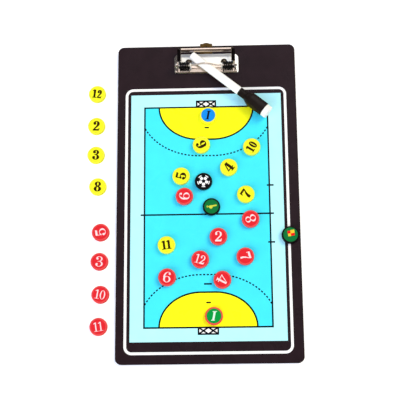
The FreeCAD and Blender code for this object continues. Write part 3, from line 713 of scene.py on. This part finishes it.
def border():
    outer = rounded_loop(BORDER_LEFT, BORDER_RIGHT, BORDER_BOTTOM, BORDER_TOP, BORDER_CORNER)
    left, right = BORDER_LEFT + BORDER_WIDTH, BORDER_RIGHT - BORDER_WIDTH
    bottom, top = BORDER_BOTTOM + BORDER_WIDTH, BORDER_TOP - BORDER_WIDTH
    inner = rounded_loop(left, right, bottom, top, BORDER_CORNER - BORDER_WIDTH)
    return ribbon(outer, inner, closed=True)


def print_court():
    """The inks of the printed face, in thin layers one over another."""
    surround = box(SURROUND_LEFT, SURROUND_RIGHT, SURROUND_BOTTOM, SURROUND_TOP)
    court = box(COURT_LEFT, COURT_RIGHT, COURT_BOTTOM, COURT_TOP)
    layers = [
        ("print_border", [border()], "white", 0),
        ("print_surround", [surround], "surround", 0),
        ("print_court", [court], "court", 1),
        ("print_goals", [box(*goal_sides(*end)) for end in GOAL_ENDS], "white", 1),
        ("print_goal_areas", [patch(goal_curve(*end, AREA_REACH)) for end in GOAL_ENDS], "area", 2),
        ("print_goal_nets", [shape for end in GOAL_ENDS for shape in goal_net(*end)], "line", 2),
        ("print_lines", court_lines(), "line", 3),
    ]
    for name, shapes, tint, level in layers:
        base = FACE_Z + level * INK_LAYER
        slab(name, shapes, base, base + INK_LAYER, court_ink(tint), "board")


# Numerals, drawn with a pen of given strokes in a box one high, with their foot at zero
def bowl(pen, cx, cy, rx, ry, start, end, weight=1.0):
    """Part of an oval stroke, thick at its sides and fine at its top and foot."""
    stem, hair, _ = pen
    outer = oval(cx, cy, rx, ry, start, end)
    inner = oval(cx, cy, rx - stem * weight, ry - hair, start, end)
    return ribbon(outer, inner, closed=end - start >= 360)


def digit_0(pen):
    return [bowl(pen, 0.3, 0.5, 0.3, 0.5, 0, 360)]


def digit_1(pen):
    stem, hair, _ = pen
    middle = 0.27
    left, right = middle - stem / 2, middle + stem / 2
    flag = patch([(0.02, 0.87), (0.02, 0.87 - hair), (left, 0.9 - hair), (left, 1.0)])
    return [box(left, right, 0, 1), box(0.02, 0.52, 0, hair), flag]


def digit_2(pen):
    stem, _, ball = pen
    neck = ribbon([(0.53, 0.55), (0.14, 0.1)], [(0.53 - stem * 0.9, 0.57), (0.02, 0.1)])
    foot = patch([(0.02, 0), (0.51, 0), (0.57, 0.28), (0.52, 0.28), (0.46, 0.17), (0.2, 0.17), (0.02, 0.1)])
    return [bowl(pen, 0.29, 0.71, 0.27, 0.29, -40, 165), disc(0.04 + ball, 0.71, ball), neck, foot]


def digit_3(pen):
    _, hair, ball = pen
    upper = bowl(pen, 0.27, 0.755, 0.26, 0.245, -90, 165, 0.9)
    lower = bowl(pen, 0.27, 0.27, 0.3, 0.27, -165, 90)
    waist = box(0.16, 0.3, 0.515 - hair / 2, 0.515 + hair / 2)
    return [upper, lower, disc(0.03 + ball, 0.76, ball), disc(ball, 0.25, ball), waist]


def digit_4(pen):
    stem, hair, _ = pen
    slope = patch([(0.5 - stem, 1.0), (0.5 - stem * 0.6, 1.0), (hair + 0.03, 0.28), (0.0, 0.28)])
    bar = box(0.0, 0.64, 0.22, 0.24 + hair)
    return [box(0.52 - stem, 0.52, 0, 1), box(0.44 - stem, 0.62, 0, hair), bar, slope]


def digit_5(pen):
    _, hair, ball = pen
    flag = patch([(0.06, 1.0), (0.06, 0.8), (0.46, 0.8), (0.53, 1.0)])
    side = box(0.06, 0.06 + hair, 0.42, 0.9)
    return [bowl(pen, 0.28, 0.31, 0.3, 0.31, -165, 152), disc(ball, 0.25, ball), side, flag]


def digit_6(pen):
    _, _, ball = pen
    back = bowl(pen, 0.38, 0.5, 0.37, 0.5, 62, 200)
    return [bowl(pen, 0.3, 0.3, 0.29, 0.3, 0, 360), back, disc(0.58 - ball, 0.82, ball)]


def digit_7(pen):
    stem, hair, _ = pen
    flag = patch([(0.02, 1.0), (0.02, 0.83), (0.3, 0.79), (0.57, 0.84), (0.57, 1.0)])
    right = [(0.57, 0.86), (0.45, 0.55), (0.4, 0.28), (0.4, 0.0)]
    widths = [hair + 0.02, stem * 0.75, stem, stem * 1.05]
    left = [(x - width, y - 0.03 * y) for (x, y), width in zip(right, widths)]
    return [flag, box(0.02, 0.02 + hair, 0.66, 0.9), ribbon(right, left)]


def digit_8(pen):
    upper = bowl(pen, 0.3, 0.755, 0.25, 0.245, 0, 360, 0.85)
    return [upper, bowl(pen, 0.3, 0.27, 0.3, 0.27, 0, 360)]


def digit_9(pen):
    return moved(digit_6(pen), lambda p: (0.6 - p[0], 1 - p[1]))


DIGITS = [digit_0, digit_1, digit_2, digit_3, digit_4, digit_5, digit_6, digit_7, digit_8, digit_9]


def numeral(text, height, stretch, pen):
    """The shapes of a number, centred on zero, at its real size."""
    row = []
    start = 0.0
    for letter in text:
        shapes = DIGITS[int(letter)](pen)
        xs = [x for points, _ in shapes for x, _ in points]
        left = min(xs)
        row += moved(shapes, lambda p: (p[0] - left + start, p[1]))
        start += max(xs) - left + DIGIT_GAP
    width = start - DIGIT_GAP
    return moved(row, lambda p: ((p[0] - width / 2) * height * stretch, (p[1] - 0.5) * height))


def keeper_one():
    """The leaning figure one of a goalkeeper, with a bar at its head and foot."""
    stem, hair, _ = DARK_PEN
    upright = [box(-stem / 2, stem / 2, 0, 1), box(*KEEPER_FOOT, 0, hair), box(*KEEPER_HEAD, 1 - hair, 1)]

    def leaning(point):
        x, rise = point[0], point[1] - 0.5
        return (x + rise * KEEPER_SLANT) * KEEPER_HEIGHT, rise * KEEPER_HEIGHT

    return moved(upright, leaning)


# Pictures on the black counters
BALL_POINTS = 5
BALL_PANEL_NEAR, BALL_PANEL_FAR = 2.0, 5.4
BALL_PANEL_HALF = 1.85
BALL_PANEL_TAPER = 0.7
BALL_EDGE_NEAR, BALL_EDGE_FAR = 6.2, 7.2
BALL_EDGE_SPREAD = 17


def spun(shapes, degrees):
    c, s = math.cos(math.radians(degrees)), math.sin(math.radians(degrees))
    return moved(shapes, lambda p: (p[0] * c - p[1] * s, p[0] * s + p[1] * c))


def football():
    """White panels of a ball: five six-sided ones round the middle and five slivers at its edge."""
    near, far, half = BALL_PANEL_NEAR, BALL_PANEL_FAR, BALL_PANEL_HALF
    waist, end = (near + far) / 2, half * BALL_PANEL_TAPER
    panel = patch([(-end, near), (end, near), (half, waist), (end, far), (-end, far), (-half, waist)])
    radii = (BALL_EDGE_FAR, BALL_EDGE_NEAR)
    rails = [oval(0, 0, r, r, 90 - BALL_EDGE_SPREAD, 90 + BALL_EDGE_SPREAD) for r in radii]
    step = 360 / BALL_POINTS
    panels = []
    for k in range(BALL_POINTS):
        panels += spun([panel, ribbon(*rails)], step / 2 + k * step)
    return panels


def whistle():
    """A pea whistle: mouthpiece, round chamber and the ring for its cord."""
    mouthpiece = patch([(-2.8, -0.3), (-2.3, 1.2), (6.1, 1.9), (6.1, 0.4), (1.2, -0.3)])
    link_bar = box(-3.8, -2.2, -0.1, 0.55)
    return [mouthpiece, disc(-0.7, -0.5, 2.0), ring(-4.5, 0.2, 1.1, 0.45), link_bar]


def cards_red():
    return [box(-3.0, 0.4, 1.4, 4.6), box(0.4, 4.6, -1.6, 1.4)]


def cards_yellow():
    return [box(0.4, 5.0, 1.4, 5.2), box(-2.8, 0.4, -1.8, 1.4)]


# What each counter carries: label colour, label radius, then (shapes, ink) pairs and their turn in degrees
NUMBER_TURNS = {
    "yellow_9": -60, "yellow_10": 58, "yellow_4": 52, "yellow_5": 77, "yellow_7": 56, "yellow_11": 7,
    "red_9": -90, "red_8": 109, "red_2": 0, "red_12": -17, "red_7": -74, "red_6": -6, "red_4": -118,
    "yellow_12": -7, "yellow_2": -3, "yellow_3": -4, "yellow_8": -5,
    "red_5": 100, "red_3": -4, "red_10": -10, "red_11": 8,
}
KEEPER_TURN = 0
BALL_TURN = 0
WHISTLE_TURN = 3
CARDS_TURN = 8


def counter_faces():
    faces = {}
    for name, turn in NUMBER_TURNS.items():
        team, text = name.split("_")
        big = len(text) == 1
        height, stretch = (SINGLE_HEIGHT, SINGLE_STRETCH) if big else (DOUBLE_HEIGHT, DOUBLE_STRETCH)
        dark_pen = DARK_PEN if big else DARK_DOUBLE_PEN
        pen, ink = (dark_pen, "numeral_dark") if team == "yellow" else (WHITE_PEN, "numeral_white")
        shapes = numeral(text, height, stretch, pen)
        faces[name] = (team, LABEL_RADIUS, [(shapes, ink)], turn)
    faces["yellow_keeper"] = ("keeper_blue", KEEPER_LABEL_RADIUS, [(keeper_one(), "black")], KEEPER_TURN)
    faces["red_keeper"] = ("keeper_green", KEEPER_LABEL_RADIUS, [(keeper_one(), "keeper_white")], KEEPER_TURN)
    faces["ball"] = ("black", INSERT_RADIUS, [(football(), "white")], BALL_TURN)
    faces["whistle"] = ("green", INSERT_RADIUS, [(whistle(), "whistle")], WHISTLE_TURN)
    cards = [(cards_red(), "card_red"), (cards_yellow(), "card_yellow")]
    faces["cards"] = ("green", INSERT_RADIUS, cards, CARDS_TURN)
    return faces


@cache
def label_ink(tint):
    return label_print("label_" + tint, COLOURS[tint])


def label_counters():
    """A label in each counter's sunk face, and its print on top."""
    for body, (tint, radius, prints, turn) in counter_faces().items():
        node = body + "_cap" if body + "_cap" in nodes else body + "_spare"
        low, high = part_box(node)
        cx, cy = (low.x + high.x) / 2 / MM, (low.y + high.y) / 2 / MM
        floor = high.z / MM - LABEL_DEPTH
        top = floor + LABEL_THICKNESS
        slab(body + "_label", [disc(cx, cy, radius)], floor, top, label_ink(tint), body)
        for shapes, shade in prints:
            placed = moved(spun(shapes, turn), lambda p: (cx + p[0], cy + p[1]))
            slab(body + "_" + shade, placed, top, top + INK_RISE, label_ink(shade), body)


# Torsion springs
def leg_angle(reach, drop, side):
    """The angle round the coil, from straight back, where a leg to this reach and drop leaves it."""
    return math.atan2(-drop, reach) + side * math.acos(SPRING_RADIUS / math.hypot(reach, drop))


def spring_path():
    """The wire's middle line on the right: rear leg, coil towards the middle, front leg."""
    start = leg_angle(SPRING_REAR_REACH, SPRING_REAR_DROP, -1)
    end = leg_angle(-SPRING_FRONT_REACH, SPRING_FRONT_DROP, 1)
    turn = (start - end) % (2 * math.pi) + 2 * math.pi * (SPRING_TURNS - 1)
    slope = SPRING_PITCH / (2 * math.pi)

    def at(angle):
        a = start - angle
        y = HINGE[1] + SPRING_RADIUS * math.cos(a)
        return Vector((SPRING_OUTER_X - slope * angle, y, HINGE[2] + SPRING_RADIUS * math.sin(a)))

    def heading(angle):
        a = start - angle
        return Vector((-slope, SPRING_RADIUS * math.sin(a), -SPRING_RADIUS * math.cos(a))).normalized()

    steps = round(SPRING_STEPS_PER_TURN * turn / (2 * math.pi))
    coil = [at(turn * k / steps) for k in range(steps + 1)]
    rear = math.sqrt(SPRING_REAR_REACH**2 + SPRING_REAR_DROP**2 - SPRING_RADIUS**2)
    front = math.sqrt(SPRING_FRONT_REACH**2 + SPRING_FRONT_DROP**2 - SPRING_RADIUS**2)
    tail = [coil[0] - heading(0) * rear * share for share in (1.0, 0.5)]
    nose = [coil[-1] + heading(turn) * front * share for share in (0.5, 1.0)]
    return tail + coil + nose


def tube_rings(path):
    """Rings of corners round a path, each turned as little as can be from the one before."""
    rings = []
    aside = None
    last = len(path) - 1
    for k, point in enumerate(path):
        along = (path[min(last, k + 1)] - path[max(0, k - 1)]).normalized()
        if aside is None:
            aside = along.orthogonal()
        aside = (aside - along * aside.dot(along)).normalized()
        across = along.cross(aside)
        outward = [aside * math.cos(a) + across * math.sin(a) for a in ring_angles(SPRING_SIDES)]
        rings.append([(point + way * SPRING_WIRE_RADIUS) * MM for way in outward])
    return rings


def wind_springs():
    """Finer wire for both springs, which turns from the board's side to the lever's along the coil."""
    path = spring_path()
    for name, side in (("spring_right", 1), ("spring_left", -1)):
        route = [Vector((p.x * side, p.y, p.z)) for p in path]
        piece = sleeve(name, tube_rings(route), SLOT_MATERIALS["spring_steel"], smooth_ends=False)
        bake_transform(piece)
        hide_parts("clip_springs")


# Felt eraser
def eraser_profile():
    """The pad's half section from its seat in the cap to its crowned end, as length and radius."""
    rim = ERASER_STUB_LENGTH + ERASER_SEAT_STEP
    end = ERASER_STUB_LENGTH + ERASER_LENGTH
    shoulder = rim + ERASER_SHOULDER
    flat = ERASER_RADIUS - ERASER_ROUND
    profile = [(0.0, ERASER_STUB_RADIUS), (ERASER_STUB_LENGTH, ERASER_STUB_RADIUS)]
    profile.append((rim, ERASER_RADIUS - ERASER_SEAT_ROUND))
    for k in range(ERASER_STEPS + 1):
        share = k / ERASER_STEPS
        radius = ERASER_RADIUS - ERASER_WAIST * math.sin(math.pi * share)
        profile.append((shoulder + (end - ERASER_ROUND - shoulder) * share, radius))
    for k in range(1, ERASER_STEPS + 1):
        a = math.pi / 2 * k / ERASER_STEPS
        profile.append((end - ERASER_ROUND * (1 - math.sin(a)), flat + ERASER_ROUND * math.cos(a)))
    for k in range(1, ERASER_STEPS):
        share = 1 - k / ERASER_STEPS
        profile.append((end + ERASER_CROWN * (1 - share**2), flat * share))
    return profile


def felt_eraser():
    """The felt pad in the cap's end, a little uneven round its side."""
    low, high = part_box("pen_eraser")
    upward = Vector((0, 0, 1))
    across = PEN_AXIS.cross(upward).normalized()
    length = ERASER_STUB_LENGTH + ERASER_LENGTH + ERASER_CROWN
    foot = (low + high) / 2 / MM - PEN_AXIS * length / 2
    rings = []
    for u, radius in eraser_profile():
        corners = []
        for a in ring_angles(ERASER_SIDES):
            lump = 1 - ERASER_LUMPS * (1 + math.sin(5 * a + u) * math.cos(3 * a - 2 * u))
            outward = across * math.cos(a) + upward * math.sin(a)
            corners.append((foot + PEN_AXIS * u + outward * radius * lump) * MM)
        rings.append(corners)
    piece = sleeve("felt_eraser", rings, SLOT_MATERIALS["felt_white"], smooth_ends=True)
    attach(piece, "pen_cap")
    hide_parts("pen_eraser")


# Stage
FLOOR_HALF = 15000.0
FLOOR_GLOW = 0.3
WHITE = (1, 1, 1, 1)

# Lamps: the side they shine from, the width of their light in degrees, its strength and its tint
LAMPS = {
    "key_light": ((1.0, 0.6, 1.1), 34, 1.9, (1.35, 1.13, 0.52)),
    "fill_light": ((-1.0, -0.9, 0.45), 60, 2.4, (1.15, 1.03, 0.75)),
    "front_light": ((0.2, -0.8, 1.0), 60, 0.6, (1, 1, 1)),
}

# What glossy surfaces mirror: a light that fades between two heights along each direction
DIM = (0.04, 0.034, 0.032, 1)
SKY_FADES = [
    ("Y", -0.04, 0.32, (0.07, 0.056, 0.05, 1), WHITE),
    ("Z", 0.12, 0.6, (0.07, 0.06, 0.055, 1), WHITE),
    ("X", -0.27, -0.06, DIM, WHITE),
    ("X", 0.4, 0.75, WHITE, DIM),
]
SKY_STRENGTH = 1.7
DOME = (0.204, 0.276, 0.465, 1)
BACKDROP = (0.5, 0.5, 0.5, 1)


def lay_floor():
    made = Finish("pale_floor")
    made.colour(made.noise(40.0), light(246, 246, 247), spread=0.01)
    made.rough(made.noise(30.0), low=0.85, high=0.95)
    made.set(Emission_Color=WHITE, Emission_Strength=FLOOR_GLOW)
    h = FLOOR_HALF * MM
    sheet = solid("floor", [(-h, -h, 0), (h, -h, 0), (h, h, 0), (-h, h, 0)], [[0, 1, 2, 3]])
    floor = link("floor", sheet, made.material)
    floor.visible_glossy = False


def soft_sun(name, source, width_deg, strength, tint):
    """Even light from far away; the wider it is, the softer its shadows."""
    lamp = bpy.data.lights.new(name, "SUN")
    lamp.angle = math.radians(width_deg)
    lamp.energy = strength
    lamp.color = tint
    holder = bpy.data.objects.new(name, lamp)
    holder.rotation_euler = (-Vector(source)).to_track_quat("-Z", "Y").to_euler()
    holder.visible_glossy = False
    scene.collection.objects.link(holder)


def sky_fade(tree, axis, low, high, below, above):
    """How bright the studio is along one direction: one shade below a height, another above the next."""
    parts = tree.nodes["Separate XYZ"]
    reach = tree.nodes.new("ShaderNodeMapRange")
    reach.interpolation_type = "SMOOTHSTEP"
    reach.inputs["From Min"].default_value = low
    reach.inputs["From Max"].default_value = high
    ramp = tree.nodes.new("ShaderNodeValToRGB")
    ramp.color_ramp.elements[0].color = below
    ramp.color_ramp.elements[1].color = above
    tree.links.new(parts.outputs[axis], reach.inputs["Value"])
    tree.links.new(reach.outputs["Result"], ramp.inputs["Fac"])
    return ramp.outputs["Color"]


def blended(tree, blend, first, second, share=None):
    """Mixes two colours; a share, where one is given, says how far the second counts."""
    made = tree.nodes.new("ShaderNodeMix")
    made.data_type = "RGBA"
    made.blend_type = blend
    made.inputs["Factor"].default_value = 1.0
    tree.links.new(first, made.inputs["A"])
    tree.links.new(second, made.inputs["B"])
    if share is not None:
        tree.links.new(share, made.inputs["Factor"])
    return made.outputs["Result"]


def plain(tree, colour):
    made = tree.nodes.new("ShaderNodeRGB")
    made.outputs[0].default_value = colour
    return made.outputs[0]


def light_stage():
    """Lamps, a soft box for what is glossy, an even dome for what is matt, and a pale backdrop."""
    for name, values in LAMPS.items():
        soft_sun(name, *values)
    world = bpy.data.worlds.new("studio")
    scene.world = world
    world.use_nodes = True
    tree = world.node_tree
    place = tree.nodes.new("ShaderNodeTexCoord")
    parts = tree.nodes.new("ShaderNodeSeparateXYZ")
    tree.links.new(place.outputs["Generated"], parts.inputs["Vector"])
    sky, *fades = [sky_fade(tree, *values) for values in SKY_FADES]
    for fade in fades:
        sky = blended(tree, "MULTIPLY", sky, fade)
    rays = tree.nodes.new("ShaderNodeLightPath").outputs
    whole = blended(tree, "MIX", plain(tree, DOME), sky, rays["Is Glossy Ray"])
    whole = blended(tree, "MIX", whole, plain(tree, BACKDROP), rays["Is Camera Ray"])
    background = tree.nodes["Background"].inputs
    tree.links.new(whole, background["Color"])
    background["Strength"].default_value = SKY_STRENGTH
    scene.view_settings.view_transform = "Standard"


def set_camera():
    turn = math.radians(CAMERA_AZIMUTH_DEG)
    rise = math.radians(CAMERA_ELEVATION_DEG)
    back = Vector((math.sin(turn) * math.cos(rise), -math.cos(turn) * math.cos(rise), math.sin(rise)))
    data = bpy.data.cameras.new("camera")
    data.sensor_width = SENSOR_WIDTH
    data.lens = SENSOR_WIDTH * CAMERA_FOCAL_PIXELS / PHOTO_PIXELS
    data.shift_x = -PIXEL_CENTRE / PHOTO_PIXELS
    data.shift_y = PIXEL_CENTRE / PHOTO_PIXELS
    camera = bpy.data.objects.new("camera", data)
    upright = (-back).to_track_quat("-Z", "Y").to_matrix().to_4x4()
    roll = Matrix.Rotation(math.radians(CAMERA_ROLL_DEG), 4, "Z")
    place = (Vector(CAMERA_AIM) + back * CAMERA_DISTANCE) * MM
    camera.matrix_world = Matrix.Translation(place) @ upright @ roll
    scene.collection.objects.link(camera)
    scene.camera = camera


dress_cad_nodes()
print_court()
label_counters()
wind_springs()
felt_eraser()
lay_floor()
light_stage()
set_camera()
